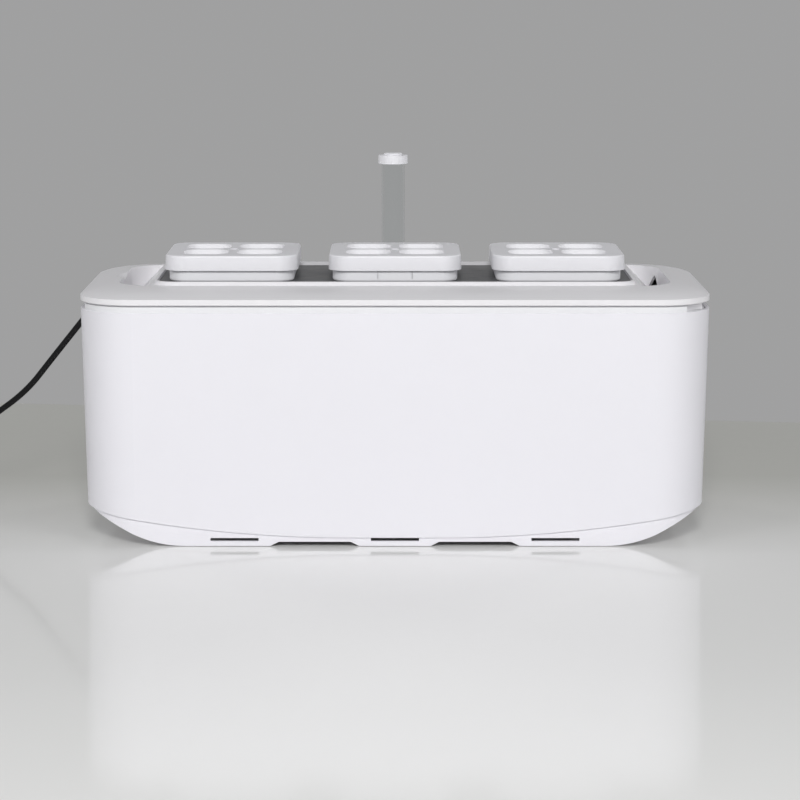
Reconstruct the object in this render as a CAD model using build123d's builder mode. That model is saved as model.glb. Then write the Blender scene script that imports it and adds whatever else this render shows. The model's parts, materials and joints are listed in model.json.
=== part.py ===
"""Hydroponic planter box: tank in a shell, lift-off lid, three baskets, level gauge and pump.

Millimetres. The origin is on the table under the middle of the box. X runs along the length,
-Y faces the viewer and Z is up.
"""
import math
import os

from build123d import *

os.makedirs("parts", exist_ok=True)

# Allowances that several pieces share
overrun = 6.0
slip_gap = 0.4
snug_gap = 0.1
edge_round = 0.7

# Lid outline
rim_length = 430.0
rim_depth = 200.0
rim_corner = 38.0
lip_overhang = 0.1
lip_height = 4.1
lip_round = 0.9
crest_rise = 5.3
bezel_end = 24.5
bezel_side = 35.5
well_corner = 26.0
dome_inset_shares = (0.0, 0.22, 0.58, 1.0)
dome_rise_shares = (0.0, 0.42, 0.82, 1.0)
skirt_height = 8.0
skirt_wall = 2.0
baffle_length = 14.0
baffle_wall = 1.6
baffle_setback = 8.9
baffle_angle = 32.0

# Shell
shell_top = 160.6
shell_edge = 6.4
shell_wall = 2.6
shell_draft = 1.1
edge_flat = 60.0
edge_sweep_radius = 885.0
shell_floor_low = 25.2
shell_floor = 2.6
shell_foot_wall = 1.0

# Tank and its rim band
tank_gap = 0.8
tank_wall = 2.2
tank_low = 33.6
tank_floor = 2.4
tank_base_round = 5.0
band_height = 5.1
band_inset = 1.4
band_groove_height = 1.1
band_groove_depth = 1.8
right_notch_depth = 18.4
left_notch_depth = 15.0
left_notch_setback = 24.0

# Plinth, its slots and arches
plinth_inset = 1.3
plinth_wall = 2.4
plinth_plate = 2.4
plinth_edge = 0.4
ramp_run = 52.0
ramp_angle = 27.5
ramp_round = 80.0
slot_width = 32.8
slot_height = 2.2
slot_low = 3.7
slot_end = 50.9
slot_gap = 7.95
arch_lean = 5.85
arch_height = 2.9
arch_round = 2.0

# Plinth screws and the bosses that take them
boss_radius = 4.5
boss_end = 89.0
boss_side = 25.0
screw_radius = 1.5
screw_length = 8.0
screw_head_radius = 3.0
screw_head_height = 2.0
screw_slot_width = 0.9
screw_slot_depth = 0.8

# Rubber feet and their posts
foot_radius = 8.0
foot_height = 3.0
foot_recess = 1.8
foot_end = 97.0
foot_side = 38.0
post_wall = 2.4

# Deck panel and the border round it
panel_end = 27.0
panel_side = 3.3
panel_corner = 12.0
panel_thickness = 2.0
panel_drop = 2.4
border_width = 2.3
border_height = 2.6
platform = 3.2

# Finger pockets at the ends of the lid
pocket_sink = 2.0
pocket_floor_run = 5.5
pocket_ramp_run = 16.3
pocket_wall = 2.2
pocket_ramp_wall = 3.4
scoop_radius = 45.0
scoop_reach = 6.0
scoop_inset = 1.6
fill_hole_end = 1.5
fill_hole_side = 14.5
fill_hole_low_radius = 10.0
fill_hole_top_radius = 1.0
fill_hole_height = 12.5

# Planting baskets
collar_inset = 2.8
collar_corner = 13.0
collar_wall = 2.2
collar_shown = 7.9
collar_foot_round = 1.6
basket_inset = 3.3
basket_corner = 12.0
basket_wall = 1.6
basket_depth = 74.0
basket_draft = 5.0
basket_floor = 1.8
flange_thickness = 1.6
basket_slots = 5
basket_slot_width = 4.0
basket_slot_spacing_share = 0.13
basket_slot_height = 44.0
basket_slot_rise = 9.0
gate_width = 24.0
gate_gap = 0.35
gate_sill = 0.2

# Covers and the sponges in their holes
cover_length_share = 0.282
cover_depth_share = 0.7533
cover_end = 4.1
cover_corner = 14.0
cover_height = 10.4
cover_draft = 2.5
cover_plate = 2.8
cover_top_round = 1.2
cover_margin = 12.0
hole_bar = 6.2
hole_round = 0.3
hole_corner_share = 0.3226
sleeve_wall = 1.4
sleeve_depth = 18.0
sleeve_lip = 1.2
pip_radius = 2.5
pip_height = 0.5
sponge_drop = 4.6
sponge_slit_width = 1.0
sponge_slit_depth = 9.0

# Level gauge
gauge_x = -1.4
gauge_setback = 21.0
tube_radius = 8.6
tube_wall = 1.3
tube_lip = 2.2
tube_foot_gap = 4.0
gauge_boss_radius = 13.0
gauge_boss_rise = 1.5
gauge_collar_radius = 11.6
gauge_collar_height = 3.0
gauge_shown = 73.0
cap_radius = 10.8
cap_height = 6.2
cap_plate = 1.8
cap_disc_radius = 6.6
cap_disc_height = 1.45
float_radius = 6.6
float_length = 30.0
rod_radius = 1.4
rod_length = 92.0
tip_radius = 4.4
tip_length = 9.0

# Pump on the tank floor
pump_end = 45.0
pump_side = 60.0
pump_length = 46.0
pump_width = 40.0
pump_height = 36.0
pump_round = 4.0
chamber_radius = 13.0
chamber_depth = 9.0
rotor_radius = 7.0
rotor_length = 16.0
rotor_gap = 0.6
shaft_radius = 1.2
shaft_gap = 0.06
hub_radius = 4.2
blade_count = 6
blade_width = 1.6
blade_height = 5.6
inlet_cover_depth = 9.0
inlet_cover_wall = 1.6
inlet_slot_count = 5
inlet_slot_width = 2.4
inlet_slot_spacing = 6.4
outlet_radius = 5.2
outlet_bore = 3.4
outlet_height = 14.0
cup_radius = 6.5
cup_neck_radius = 2.6
cup_height = 4.5
cup_spacing_x = 30.0
cup_spacing_y = 24.0

# Lead: cable inside the tank, cord notch and grommet, free cord, coil, tie and plug
cord_diameter = 4.4
cable_bend = 22.0
exit_angle = 40.0
notch_width = 11.0
notch_depth = 17.2
exit_rise = 6.3
cord_steps = (
    (1.8, -45.0),
    (-8.4, -45.0),
    (-21.0, -42.5),
    (-36.0, -39.0),
    (-57.0, -33.0),
    (-88.0, -23.0),
    (-115.0, -12.0),
    (-138.0, -3.0),
    (-165.0, 4.0),
    (-191.0, 4.0),
)
cord_height_shares = (1.0, 0.9415, 0.8344, 0.7077, 0.5263, 0.3723, 0.191, 0.0342, 0.0, 0.0)
fillet_share = 0.45
coil_turn_radius = 24.2
coil_turns = 3.25
climb_turns = 0.5
quarter_turn = 0.25
coil_turn_spacing = 5.2
coil_layer_spacing = 5.2
coil_exit_shares = (1.1, 1.35)
tie_wall = 0.8
tie_width = 4.0
tie_gap = 0.5
relief_radius = 3.4
relief_length = 12.0
plug_length = 26.0
plug_width = 15.6
plug_thickness = 8.0
plug_round = 2.0
plug_shell_length = 18.6
plug_shell_width = 12.0
plug_shell_thickness = 4.5
plug_shell_wall = 0.35
plug_tongue_share = 0.4

# Plan sizes that follow from the lid's outline
shell_length = rim_length - 2 * lip_overhang
shell_depth = rim_depth - 2 * lip_overhang
shell_corner = rim_corner - lip_overhang
well_length = rim_length - 2 * bezel_end
well_depth = rim_depth - 2 * bezel_side
panel_length = well_length - 2 * panel_end
panel_depth = well_depth - 2 * panel_side
pocket_ramp_low = well_length / 2 - pocket_floor_run
pocket_ramp_top = pocket_ramp_low - pocket_ramp_run
right_notch_start = rim_length / 2 - right_notch_depth
left_notch_start = rim_length / 2 - left_notch_depth
left_notch_width = rim_depth - 2 * left_notch_setback
ramp_start = rim_length / 2 - ramp_run
slot_spacing = (rim_length - 2 * slot_end) / 3
arch_width = slot_spacing - slot_width - 2 * slot_gap
arch_top_width = arch_width - 2 * arch_lean
boss_spacing_x = (rim_length - 2 * boss_end) / 2
boss_spacing_y = rim_depth - 2 * boss_side
foot_spacing_x = rim_length - 2 * foot_end
foot_spacing_y = rim_depth - 2 * foot_side
gauge_y = rim_depth / 2 - gauge_setback
pump_x = pump_end - rim_length / 2
pump_y = rim_depth / 2 - pump_side

# Covers fill the deck both ways, and their holes, collars and baskets follow them
cover_size = min(panel_length * cover_length_share, panel_depth * cover_depth_share)
cover_spacing = (panel_length - cover_size - 2 * cover_end) / 2
collar_size = cover_size - 2 * collar_inset
basket_size = collar_size - 2 * basket_inset
basket_slot_spacing = basket_size * basket_slot_spacing_share
hole_size = (cover_size - 2 * cover_margin - hole_bar) / 2
hole_spacing = hole_size + hole_bar
hole_corner = hole_size * hole_corner_share
basket_centres = {"left": -cover_spacing, "centre": 0.0, "right": cover_spacing}

# Heights that follow from the sizes above
lid_seat = shell_top + band_height
lip_top = lid_seat + lip_height
crest = lip_top + crest_rise
border_top = crest + border_height
panel_top = border_top - panel_drop
panel_low = panel_top - panel_thickness
cavity_top = panel_low - platform
skirt_low = lid_seat - skirt_height
pocket_floor = shell_top - pocket_sink
floor_top = shell_floor_low + shell_floor
tank_bed = tank_low + tank_floor
cover_low = panel_top + collar_shown
cover_top = cover_low + cover_height
collar_top = cover_top - cover_plate
basket_low = panel_top - basket_depth
cap_low = crest + gauge_shown
notch_low = shell_top - notch_depth

# Lead: it leaves the shell's rear left and comes to rest on its tie
cord_radius = cord_diameter / 2
cord_rest = cord_radius + tie_gap + tie_wall + snug_gap
cord_drop = notch_low + exit_rise - cord_rest
cord_route = [
    (step_x - rim_length / 2, rim_depth / 2 + step_y, cord_rest + cord_drop * share)
    for (step_x, step_y), share in zip(cord_steps, cord_height_shares)
]
exit_x, cord_y, exit_z = cord_route[0]
lean = math.tan(math.radians(shell_draft))


def lean_at(height):
    """How far the drafted walls have moved inwards at a height under the shell's top edge."""
    return (shell_top - height) * lean


def corner_front(x):
    """Y of the shell's top edge at a place along X on its right front corner."""
    reach = max(0.0, x - shell_length / 2 + shell_corner)
    return shell_corner - shell_depth / 2 - math.sqrt(shell_corner**2 - reach**2)


def rounded(length, depth, corner, inset=0.0):
    """Rounded rectangle in the current sketch, drawn in by an inset on all sides."""
    return RectangleRounded(length - 2 * inset, depth - 2 * inset, corner - inset)


def finish(builder, label):
    """Label a finished piece and write its STEP file."""
    builder.part.label = label
    export_step(builder.part, f"parts/{label}.step")


# Outer shell: drafted walls, a floor over the plinth and a swept lower edge
boss_spots = GridLocations(boss_spacing_x, boss_spacing_y, 3, 2)

with BuildPart() as outer_shell:
    with BuildSketch(Plane.XY.offset(shell_top)):
        rounded(shell_length, shell_depth, shell_corner)
    extrude(amount=shell_top - shell_edge, dir=(0, 0, -1), taper=shell_draft)
    with BuildSketch(Plane.XY.offset(shell_top)):
        rounded(shell_length, shell_depth, shell_corner, shell_wall)
    extrude(amount=shell_top - floor_top, dir=(0, 0, -1), taper=shell_draft, mode=Mode.SUBTRACT)
    with BuildSketch(Plane.XY.offset(shell_floor_low)):
        rounded(shell_length, shell_depth, shell_corner, shell_foot_wall + lean_at(shell_floor_low))
    extrude(amount=shell_floor_low, dir=(0, 0, -1), taper=shell_draft, mode=Mode.SUBTRACT)
    edge_reach = rim_length / 2 + overrun
    edge_turn = math.degrees(math.asin((edge_reach - edge_flat / 2) / edge_sweep_radius))
    with BuildSketch(Plane.XZ):
        with BuildLine():
            flat = Line((-edge_flat / 2, shell_edge), (edge_flat / 2, shell_edge))
            right = CenterArc(
                (edge_flat / 2, shell_edge + edge_sweep_radius), edge_sweep_radius, -90, edge_turn
            )
            left = CenterArc(
                (-edge_flat / 2, shell_edge + edge_sweep_radius), edge_sweep_radius, -90, -edge_turn
            )
            Polyline(right @ 1, (edge_reach, -overrun), (-edge_reach, -overrun), left @ 1)
        make_face()
    extrude(amount=rim_depth, both=True, mode=Mode.SUBTRACT)
    with BuildSketch(Plane.XY.offset(floor_top)):
        with boss_spots:
            Circle(boss_radius)
    extrude(amount=tank_low - floor_top)
    with BuildSketch(Plane.XY.offset(shell_floor_low)):
        with boss_spots:
            Circle(screw_radius + snug_gap)
    extrude(amount=screw_length, mode=Mode.SUBTRACT)
    with BuildSketch(Plane.YZ.offset(-rim_length / 2 - overrun)):
        with Locations((cord_y, (notch_low + shell_top + overrun) / 2)):
            Rectangle(notch_width, shell_top + overrun - notch_low)
    extrude(amount=shell_corner, mode=Mode.SUBTRACT)
finish(outer_shell, "outer_shell")

# Plinth: an inverted tray, raised at both ends, with slots and arches front and back
plinth_inset_top = plinth_inset + lean_at(shell_edge)
plinth_top = shell_floor_low
ramp_end = rim_length / 2 + overrun
ramp_end_height = plinth_edge + (ramp_end - ramp_start) * math.tan(math.radians(ramp_angle))

with BuildPart() as base_plinth:
    with BuildSketch(Plane.XY.offset(plinth_edge)):
        rounded(shell_length, shell_depth, shell_corner, plinth_inset_top)
    extrude(amount=plinth_top - plinth_edge)
    with BuildSketch(Plane.XY.offset(plinth_edge)):
        rounded(shell_length, shell_depth, shell_corner, plinth_inset_top + plinth_wall)
    extrude(amount=plinth_top - plinth_plate - plinth_edge, mode=Mode.SUBTRACT)
    with BuildSketch(Plane.XY.offset(plinth_top - plinth_plate)):
        with boss_spots:
            Circle(screw_radius + slip_gap)
    extrude(amount=plinth_plate, mode=Mode.SUBTRACT)
    with BuildSketch(Plane.XZ):
        with BuildLine():
            FilletPolyline(
                (-ramp_end, ramp_end_height),
                (-ramp_start, plinth_edge),
                (ramp_start, plinth_edge),
                (ramp_end, ramp_end_height),
                radius=ramp_round,
            )
            Polyline(
                (ramp_end, ramp_end_height),
                (ramp_end, -overrun),
                (-ramp_end, -overrun),
                (-ramp_end, ramp_end_height),
            )
        make_face()
    extrude(amount=rim_depth, both=True, mode=Mode.SUBTRACT)
    arch_top = plinth_edge + arch_height
    with BuildSketch(Plane.XZ):
        with Locations((-slot_spacing / 2, 0), (slot_spacing / 2, 0)):
            Polygon(
                (-arch_width / 2, plinth_edge),
                (-arch_top_width / 2, arch_top),
                (arch_top_width / 2, arch_top),
                (arch_width / 2, plinth_edge),
                align=None,
            )
        with GridLocations(slot_spacing, 0, 3, 1):
            with Locations((0, slot_low + slot_height / 2)):
                Rectangle(slot_width, slot_height)
        fillet(vertices().filter_by(lambda v: abs(v.Z - arch_top) < snug_gap), arch_round)
    extrude(amount=rim_depth, both=True, mode=Mode.SUBTRACT)
    post_low = foot_height - foot_recess
    with BuildSketch(Plane.XY.offset(post_low)):
        with GridLocations(foot_spacing_x, foot_spacing_y, 2, 2):
            Circle(foot_radius + post_wall)
    extrude(amount=plinth_top - plinth_plate / 2 - post_low)
    with BuildSketch(Plane.XY.offset(post_low)):
        with GridLocations(foot_spacing_x, foot_spacing_y, 2, 2):
            Circle(foot_radius + snug_gap)
    extrude(amount=foot_recess, mode=Mode.SUBTRACT)
finish(base_plinth, "base_plinth")

with BuildPart() as plinth_screws:
    head_low = plinth_top - plinth_plate - screw_head_height
    with BuildSketch(Plane.XY.offset(head_low)):
        with boss_spots:
            Circle(screw_head_radius)
    extrude(amount=screw_head_height)
    with BuildSketch(Plane.XY.offset(head_low)):
        with boss_spots:
            Rectangle(2 * screw_head_radius, screw_slot_width)
    extrude(amount=screw_slot_depth, mode=Mode.SUBTRACT)
    with BuildSketch(Plane.XY.offset(head_low + screw_head_height)):
        with boss_spots:
            Circle(screw_radius)
    extrude(amount=screw_length)
finish(plinth_screws, "plinth_screws")

with BuildPart() as rubber_feet:
    with BuildSketch():
        with GridLocations(foot_spacing_x, foot_spacing_y, 2, 2):
            Circle(foot_radius)
    extrude(amount=foot_height)
finish(rubber_feet, "rubber_feet")

# Tank: hangs by its rim band on the shell's top edge and stands on the bosses
tank_inset = shell_wall + tank_gap
bore_inset = tank_inset + tank_wall

with BuildPart() as water_tank:
    with BuildSketch(Plane.XY.offset(shell_top)):
        rounded(shell_length, shell_depth, shell_corner, tank_inset)
    extrude(amount=shell_top - tank_low, dir=(0, 0, -1), taper=shell_draft)
    fillet(water_tank.faces().sort_by(Axis.Z)[0].edges(), tank_base_round)
    with BuildSketch(Plane.XY.offset(shell_top)):
        rounded(shell_length, shell_depth, shell_corner, band_inset)
    extrude(amount=band_height - band_groove_height)
    with BuildSketch(Plane.XY.offset(lid_seat - band_groove_height)):
        rounded(shell_length, shell_depth, shell_corner, band_inset + band_groove_depth)
    extrude(amount=band_groove_height)
    with BuildSketch(Plane.XY.offset(shell_top)):
        rounded(shell_length, shell_depth, shell_corner, bore_inset)
    extrude(amount=shell_top - tank_bed, dir=(0, 0, -1), taper=shell_draft, mode=Mode.SUBTRACT)
    with BuildSketch(Plane.XY.offset(shell_top)):
        rounded(shell_length, shell_depth, shell_corner, bore_inset)
    extrude(amount=band_height, mode=Mode.SUBTRACT)
    with BuildSketch(Plane.XY.offset(shell_top)):
        with Locations((right_notch_start, 0)):
            Rectangle(rim_length, rim_depth, align=(Align.MIN, Align.CENTER))
        with Locations((-left_notch_start, 0)):
            Rectangle(rim_length, left_notch_width, align=(Align.MAX, Align.CENTER))
    extrude(amount=band_height, mode=Mode.SUBTRACT)
    with BuildSketch(Plane.YZ.offset(-rim_length / 2 - overrun)):
        with Locations((cord_y, (notch_low + shell_top) / 2)):
            Rectangle(notch_width, shell_top - notch_low)
    extrude(amount=shell_corner, mode=Mode.SUBTRACT)
finish(water_tank, "water_tank")

# Finger pockets: the hollow itself and the walls that the lid puts round it
with BuildPart() as pocket_space:
    with BuildSketch(Plane.XZ):
        with BuildLine():
            Polyline(
                (pocket_ramp_top, border_top + overrun),
                (pocket_ramp_top, crest),
                (pocket_ramp_low, pocket_floor),
                (rim_length / 2, pocket_floor),
                (rim_length / 2, border_top + overrun),
                close=True,
            )
        make_face()
    extrude(amount=rim_depth, both=True)
    mirror(about=Plane.YZ)
    with BuildSketch(Plane.XY.offset(pocket_floor - overrun)):
        rounded(well_length, well_depth, well_corner)
    extrude(amount=border_top + 2 * overrun - pocket_floor, mode=Mode.INTERSECT)
    with Locations((-pocket_ramp_top - scoop_reach, 0, crest + scoop_radius - scoop_reach)):
        Sphere(scoop_radius)
    with BuildSketch(Plane.XY.offset(crest)):
        Rectangle(2 * pocket_ramp_top, rim_depth)
    extrude(amount=scoop_radius * 2, mode=Mode.SUBTRACT)
    with BuildSketch(Plane.XY.offset(pocket_floor)):
        Rectangle(2 * (pocket_ramp_top - scoop_inset), rim_depth)
    extrude(amount=scoop_radius * 2, mode=Mode.SUBTRACT)

with BuildPart() as pocket_walls:
    with BuildSketch(Plane.XZ):
        with BuildLine():
            Polyline(
                (pocket_ramp_top - pocket_ramp_wall, cavity_top + platform / 2),
                (pocket_ramp_low - pocket_ramp_wall, pocket_floor - pocket_wall),
                (rim_length / 2, pocket_floor - pocket_wall),
                (rim_length / 2, cavity_top + platform / 2),
                close=True,
            )
        make_face()
    extrude(amount=rim_depth, both=True)
    mirror(about=Plane.YZ)
    with BuildSketch(Plane.XY.offset(pocket_floor - overrun)):
        rounded(well_length, well_depth, well_corner, -pocket_wall)
    extrude(amount=border_top - pocket_floor + overrun, mode=Mode.INTERSECT)

# Lid: lip, domed bezel, locating skirt, pockets, border and basket openings in one moulding
skirt_inset = bore_inset + slip_gap
opening_size = basket_size + 2 * slip_gap
opening_corner = basket_corner + slip_gap
end_run = (rim_length - well_length) / 2
side_run = (rim_depth - well_depth) / 2
boss_top = crest + gauge_boss_rise

with BuildPart() as lid_frame:
    with BuildSketch(Plane.XY.offset(lid_seat)):
        rounded(rim_length, rim_depth, rim_corner)
    extrude(amount=lip_height)
    fillet(lid_frame.faces().sort_by(Axis.Z)[0].edges(), lip_round)
    for inset_share, rise_share in zip(dome_inset_shares, dome_rise_shares):
        with BuildSketch(Plane.XY.offset(lip_top + rise_share * crest_rise)):
            RectangleRounded(
                rim_length - 2 * end_run * inset_share,
                rim_depth - 2 * side_run * inset_share,
                rim_corner + (well_corner - rim_corner) * inset_share,
            )
    loft()
    with BuildSketch(Plane.XY.offset(skirt_low)):
        rounded(shell_length, shell_depth, shell_corner, skirt_inset)
    extrude(amount=lid_seat - skirt_low)
    with BuildSketch(Plane.XY.offset(skirt_low)):
        rounded(shell_length, shell_depth, shell_corner, skirt_inset + skirt_wall)
    extrude(amount=cavity_top - skirt_low, mode=Mode.SUBTRACT)
    with BuildSketch(Plane.XY.offset(shell_top + slip_gap)):
        with Locations((right_notch_start, corner_front(right_notch_start) + baffle_setback)):
            Rectangle(baffle_length, baffle_wall, rotation=baffle_angle, align=(Align.MIN, Align.MIN))
    extrude(amount=lid_seat - shell_top - slip_gap)
    add(pocket_walls.part)
    with BuildSketch(Plane.XY.offset(panel_low)):
        rounded(panel_length, panel_depth, panel_corner, -border_width - snug_gap)
    extrude(amount=border_top - panel_low)
    with BuildSketch(Plane.XY.offset(cavity_top)):
        with Locations((gauge_x, gauge_y)):
            Circle(gauge_boss_radius)
    extrude(amount=boss_top - cavity_top)
    with BuildSketch(Plane.XY.offset(panel_low)):
        rounded(panel_length, panel_depth, panel_corner, -snug_gap)
    extrude(amount=border_top - panel_low, mode=Mode.SUBTRACT)
    with BuildSketch(Plane.XY.offset(cavity_top)):
        with Locations(*[(x, 0) for x in basket_centres.values()]):
            rounded(opening_size, opening_size, opening_corner)
    extrude(amount=platform, mode=Mode.SUBTRACT)
    add(pocket_space.part, mode=Mode.SUBTRACT)
    with BuildSketch(Plane.XY.offset(cavity_top)):
        with Locations((gauge_x, gauge_y)):
            Circle(tube_radius + snug_gap)
    extrude(amount=boss_top - cavity_top, mode=Mode.SUBTRACT)
    fill_hole_x = well_length / 2 - fill_hole_end
    fill_hole_y = well_depth / 2 - fill_hole_side
    with Locations((fill_hole_x, fill_hole_y, pocket_floor - pocket_wall)):
        Cone(
            fill_hole_low_radius,
            fill_hole_top_radius,
            fill_hole_height,
            align=(Align.CENTER, Align.CENTER, Align.MIN),
            mode=Mode.SUBTRACT,
        )
finish(lid_frame, "lid_frame")

with BuildPart() as deck_panel:
    with BuildSketch(Plane.XY.offset(panel_low)):
        rounded(panel_length, panel_depth, panel_corner)
        with Locations(*[(x, 0) for x in basket_centres.values()]):
            RectangleRounded(opening_size, opening_size, opening_corner, mode=Mode.SUBTRACT)
    extrude(amount=panel_thickness)
finish(deck_panel, "deck_panel")

# Planting baskets with their collars
slot_reach = (basket_slots - 1) / 2 * basket_slot_spacing
for place, centre_x in basket_centres.items():
    with BuildPart() as basket:
        with BuildSketch(Plane((centre_x, 0, panel_top))):
            rounded(collar_size, collar_size, collar_corner)
        extrude(amount=collar_top - panel_top)
        fillet(basket.faces().sort_by(Axis.Z)[0].edges(), collar_foot_round)
        with BuildSketch(Plane((centre_x, 0, panel_top + flange_thickness))):
            rounded(collar_size, collar_size, collar_corner, collar_wall)
        extrude(amount=collar_top - panel_top, mode=Mode.SUBTRACT)
        with BuildSketch(Plane((centre_x, 0, panel_top))):
            rounded(basket_size, basket_size, basket_corner)
        extrude(amount=basket_depth, dir=(0, 0, -1), taper=basket_draft)
        with BuildSketch(Plane((centre_x, 0, panel_top))):
            rounded(basket_size, basket_size, basket_corner, basket_wall)
        extrude(amount=basket_depth - basket_floor, dir=(0, 0, -1), taper=basket_draft, mode=Mode.SUBTRACT)
        with BuildSketch(Plane((centre_x, 0, panel_top))):
            rounded(basket_size, basket_size, basket_corner, basket_wall)
        extrude(amount=flange_thickness, mode=Mode.SUBTRACT)
        slot_mid = basket_low + basket_slot_rise + basket_slot_height / 2
        for plane in (Plane.XZ, Plane.YZ):
            face = Plane((centre_x, 0, slot_mid), x_dir=plane.x_dir, z_dir=plane.z_dir)
            with BuildSketch(face):
                with GridLocations(basket_slot_spacing, 0, basket_slots, 1):
                    SlotOverall(basket_slot_height, basket_slot_width, rotation=90)
            extrude(amount=basket_size, both=True, mode=Mode.SUBTRACT)
        with BuildSketch(Plane((centre_x, 0, basket_low))):
            with GridLocations(basket_slot_spacing, 0, basket_slots, 1):
                SlotOverall(2 * slot_reach, basket_slot_width, rotation=90)
        extrude(amount=basket_floor, mode=Mode.SUBTRACT)
        if place == "centre":
            sill = panel_top + flange_thickness + gate_sill
            with BuildSketch(Plane.XZ):
                with Locations((0, sill)):
                    Rectangle(gate_width, collar_top - sill, align=(Align.CENTER, Align.MIN))
            extrude(amount=collar_size, mode=Mode.SUBTRACT)
    finish(basket, f"basket_{place}")

with BuildPart() as basket_gate:
    with BuildSketch(Plane((0, -collar_size / 2, sill), x_dir=(1, 0, 0), z_dir=(0, 0, 1))):
        Rectangle(gate_width - 2 * gate_gap, collar_wall, align=(Align.CENTER, Align.MIN))
    extrude(amount=collar_top - sill)
finish(basket_gate, "basket_gate")

# Covers with four sleeved holes, and a sponge in each sleeve
cover_bore = collar_size + 2 * slip_gap
sleeve_low = collar_top - sleeve_depth
sponge_size = hole_size - 2 * slip_gap
for place, centre_x in basket_centres.items():
    with BuildPart() as cover:
        with BuildSketch(Plane((centre_x, 0, cover_low))):
            rounded(cover_size, cover_size, cover_corner)
        extrude(amount=cover_height, taper=cover_draft)
        fillet(cover.faces().sort_by(Axis.Z)[-1].edges(), cover_top_round)
        with BuildSketch(Plane((centre_x, 0, cover_low))):
            rounded(cover_bore, cover_bore, collar_corner + slip_gap)
        extrude(amount=collar_top - cover_low, mode=Mode.SUBTRACT)
        with BuildSketch(Plane((centre_x, 0, sleeve_low))):
            with GridLocations(hole_spacing, hole_spacing, 2, 2):
                rounded(hole_size, hole_size, hole_corner, -sleeve_wall)
        extrude(amount=sleeve_depth)
        with BuildSketch(Plane((centre_x, 0, sleeve_low + sleeve_lip))):
            with GridLocations(hole_spacing, hole_spacing, 2, 2):
                rounded(hole_size, hole_size, hole_corner)
        extrude(amount=cover_top - sleeve_low, mode=Mode.SUBTRACT)
        with BuildSketch(Plane((centre_x, 0, sleeve_low))):
            with GridLocations(hole_spacing, hole_spacing, 2, 2):
                rounded(hole_size, hole_size, hole_corner, sleeve_lip)
        extrude(amount=sleeve_lip, mode=Mode.SUBTRACT)
        rims = cover.faces().sort_by(Axis.Z)[-1].inner_wires()
        fillet([edge for rim in rims for edge in rim.edges()], hole_round)
        with BuildSketch(Plane((centre_x, 0, cover_top))):
            Circle(pip_radius)
        extrude(amount=pip_height)
    finish(cover, f"cover_{place}")
    with BuildPart() as sponges:
        with BuildSketch(Plane((centre_x, 0, sleeve_low + sleeve_lip))):
            with GridLocations(hole_spacing, hole_spacing, 2, 2):
                rounded(sponge_size, sponge_size, hole_corner - slip_gap)
        extrude(amount=cover_top - sponge_drop - sleeve_low - sleeve_lip)
        with BuildSketch(Plane((centre_x, 0, cover_top - sponge_drop))):
            with GridLocations(hole_spacing, hole_spacing, 2, 2):
                Rectangle(sponge_size, sponge_slit_width, align=(Align.MIN, Align.CENTER))
        extrude(amount=-sponge_slit_depth, mode=Mode.SUBTRACT)
    finish(sponges, f"sponges_{place}")

# Level gauge: clear tube through the lid, rubber collar, cap, float with rod and tip
tube_low = tank_bed + tube_foot_gap
tube_top = cap_low + cap_height - cap_plate
float_low = tube_low + tube_lip + slip_gap
rod_top = float_low + float_length + rod_length


def gauge_plane(height):
    """Plane across the gauge's axis at a height."""
    return Plane((gauge_x, gauge_y, height))


with BuildPart() as gauge_tube:
    with BuildSketch(gauge_plane(tube_low)):
        Circle(tube_radius)
        Circle(tube_radius - tube_wall, mode=Mode.SUBTRACT)
    extrude(amount=tube_top - tube_low)
    with BuildSketch(gauge_plane(tube_low)):
        Circle(tube_radius)
        Circle(tube_radius - tube_wall - tube_lip, mode=Mode.SUBTRACT)
    extrude(amount=tube_lip)
finish(gauge_tube, "gauge_tube")

with BuildPart() as gauge_collar:
    with BuildSketch(gauge_plane(boss_top)):
        Circle(gauge_collar_radius)
        Circle(tube_radius + snug_gap, mode=Mode.SUBTRACT)
    extrude(amount=gauge_collar_height)
    fillet(gauge_collar.faces().sort_by(Axis.Z)[-1].outer_wire().edges(), edge_round)
finish(gauge_collar, "gauge_collar")

with BuildPart() as gauge_cap:
    with BuildSketch(gauge_plane(cap_low)):
        Circle(cap_radius)
    extrude(amount=cap_height)
    fillet(gauge_cap.faces().sort_by(Axis.Z)[-1].edges(), edge_round)
    with BuildSketch(gauge_plane(cap_low + cap_height)):
        Circle(cap_disc_radius)
    extrude(amount=cap_disc_height)
    fillet(gauge_cap.faces().sort_by(Axis.Z)[-1].edges(), edge_round)
    with BuildSketch(gauge_plane(cap_low)):
        Circle(tube_radius + slip_gap)
    extrude(amount=cap_height - cap_plate, mode=Mode.SUBTRACT)
finish(gauge_cap, "gauge_cap")

with BuildPart() as level_float:
    with BuildSketch(gauge_plane(float_low)):
        Circle(float_radius)
    extrude(amount=float_length)
    fillet(level_float.edges().filter_by(GeomType.CIRCLE), edge_round)
finish(level_float, "level_float")

with BuildPart() as float_rod:
    with BuildSketch(gauge_plane(float_low + float_length)):
        Circle(rod_radius)
    extrude(amount=rod_length)
finish(float_rod, "float_rod")

with BuildPart() as float_tip:
    with BuildSketch(gauge_plane(rod_top)):
        Circle(tip_radius)
    extrude(amount=tip_length)
    fillet(float_tip.faces().sort_by(Axis.Z)[-1].edges(), edge_round)
finish(float_tip, "float_tip")

# Pump: the impeller's axis runs along Y and the inlet faces the viewer
pump_low = tank_bed + cup_height
pump_front = pump_y - pump_width / 2
axis_height = pump_low + pump_height / 2
chamber_back = pump_front + chamber_depth
rotor_end = chamber_back + rotor_length
outlet_y = pump_front + chamber_depth / 2


def pump_plane(y):
    """Plane across the impeller's axis at a place along Y, looking to +Y."""
    return Plane((pump_x, y, axis_height), x_dir=(-1, 0, 0), z_dir=(0, 1, 0))


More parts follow.
